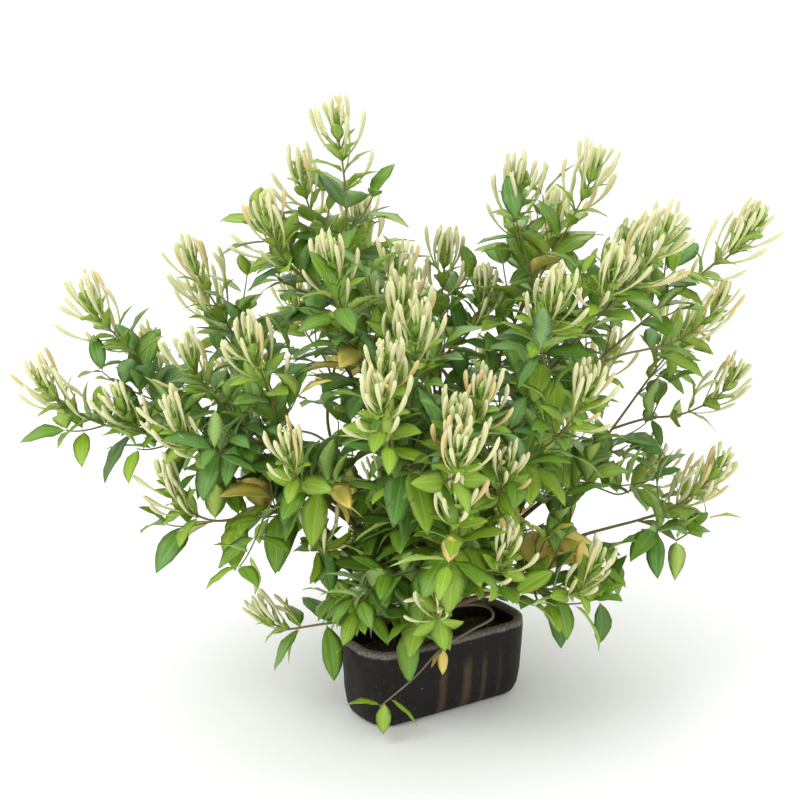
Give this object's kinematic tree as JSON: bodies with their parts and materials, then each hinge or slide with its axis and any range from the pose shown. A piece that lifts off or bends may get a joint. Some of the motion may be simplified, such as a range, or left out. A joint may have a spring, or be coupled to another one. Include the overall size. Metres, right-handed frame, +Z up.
{
  "type": "potted honeysuckle",
  "caption": "Bushy honeysuckle with pointed paired leaves and clusters of slim cream flower buds, in a small rounded trough pot filled with soil.",
  "frame": {"origin": "centre of the pot's flat underside, at the surface it stands on", "axes": "+Z up, -Y towards the front of the shrub as pictured, +X to its right; the pot's long side is turned 33 degrees from +X"},
  "size_m": [0.6891, 0.6151, 0.5617],
  "materials": {
    "pot": "weathered dark glaze, dull, with a thick paler rim",
    "soil": "moist potting soil with brown litter",
    "bark": "thin brown bark, shredding in strips",
    "foliage": "green leaves and cream flower buds"
  },
  "bodies": {
    "root": {"bough_back_left": "bark", "bough_back_low": "bark", "bough_back_middle": "bark", "bough_back_right": "bark", "bough_back_upper": "bark", "bough_far_left": "bark", "bough_far_right": "bark", "bough_front_low": "bark", "bough_front_middle": "bark", "bough_front_right": "bark", "bough_front_upper": "bark", "bough_left_low": "bark", "bough_left_middle": "bark", "bough_left_upper": "bark", "bough_right_low": "bark", "bough_right_middle": "bark", "bough_right_skirt": "bark", "bough_right_upper": "bark", "bough_top_left": "bark", "bough_top_right": "bark", "mass_back_left": "foliage", "mass_back_low": "foliage", "mass_back_middle": "foliage", "mass_back_right": "foliage", "mass_back_upper": "foliage", "mass_far_left": "foliage", "mass_far_right": "foliage", "mass_front_low": "foliage", "mass_front_middle": "foliage", "mass_front_right": "foliage", "mass_front_upper": "foliage", "mass_left_low": "foliage", "mass_left_middle": "foliage", "mass_left_upper": "foliage", "mass_right_low": "foliage", "mass_right_middle": "foliage", "mass_right_skirt": "foliage", "mass_right_upper": "foliage", "mass_top_left": "foliage", "mass_top_right": "foliage", "mass_trailing_front": "foliage", "mass_trailing_left": "foliage", "pot": "pot", "soil": "soil", "trunk": "bark"}
  },
  "joints": []
}
